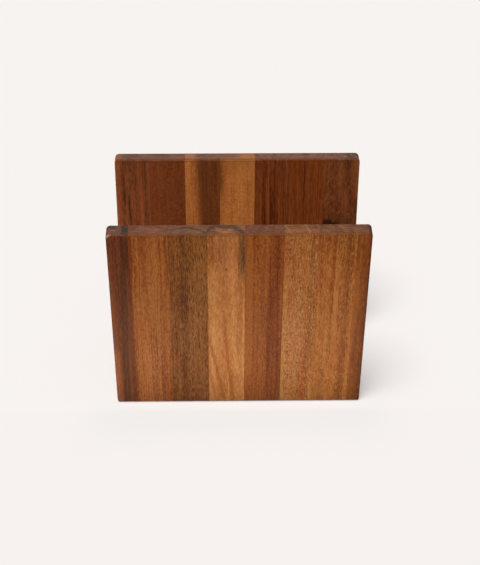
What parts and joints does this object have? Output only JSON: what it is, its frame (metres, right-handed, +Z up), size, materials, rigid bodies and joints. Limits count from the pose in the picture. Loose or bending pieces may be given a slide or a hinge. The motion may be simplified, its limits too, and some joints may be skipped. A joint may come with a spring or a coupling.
{
  "type": "napkin holder",
  "caption": "Upright wooden napkin holder: two outward-leaning stave-glued side boards joined by a doweled base, with an open V-shaped slot between them.",
  "frame": {"origin": "centre of the underside of the base, on the table", "axes": "+X to the right along the boards' width, +Y from the front board to the back board, +Z up"},
  "size_m": [0.152, 0.0932, 0.1319],
  "materials": {
    "acacia_dark": "oiled satin",
    "acacia_red": "oiled satin",
    "acacia_brown": "oiled satin",
    "acacia_orange": "oiled satin",
    "acacia_tan": "oiled satin",
    "acacia_golden": "oiled satin",
    "beech": "dry glue-jointed stock"
  },
  "bodies": {
    "root": {"front_stave_1": "acacia_dark", "front_stave_2": "acacia_orange", "front_stave_3": "acacia_brown", "front_stave_4": "acacia_golden", "front_stave_5": "acacia_red", "front_stave_6": "acacia_tan", "front_stave_7": "acacia_orange", "front_stave_8": "acacia_red", "back_stave_1": "acacia_red", "back_stave_2": "acacia_red", "back_stave_3": "acacia_golden", "back_stave_4": "acacia_golden", "back_stave_5": "acacia_dark", "back_stave_6": "acacia_red", "back_stave_7": "acacia_brown", "base_stave_1": "acacia_red", "base_stave_2": "acacia_orange", "base_stave_3": "acacia_dark", "base_stave_4": "acacia_golden", "base_stave_5": "acacia_tan", "base_stave_6": "acacia_red", "base_stave_7": "acacia_orange", "base_stave_8": "acacia_brown", "front_dowel_1": "beech", "front_dowel_2": "beech", "front_dowel_3": "beech", "back_dowel_1": "beech", "back_dowel_2": "beech", "back_dowel_3": "beech"}
  },
  "joints": []
}
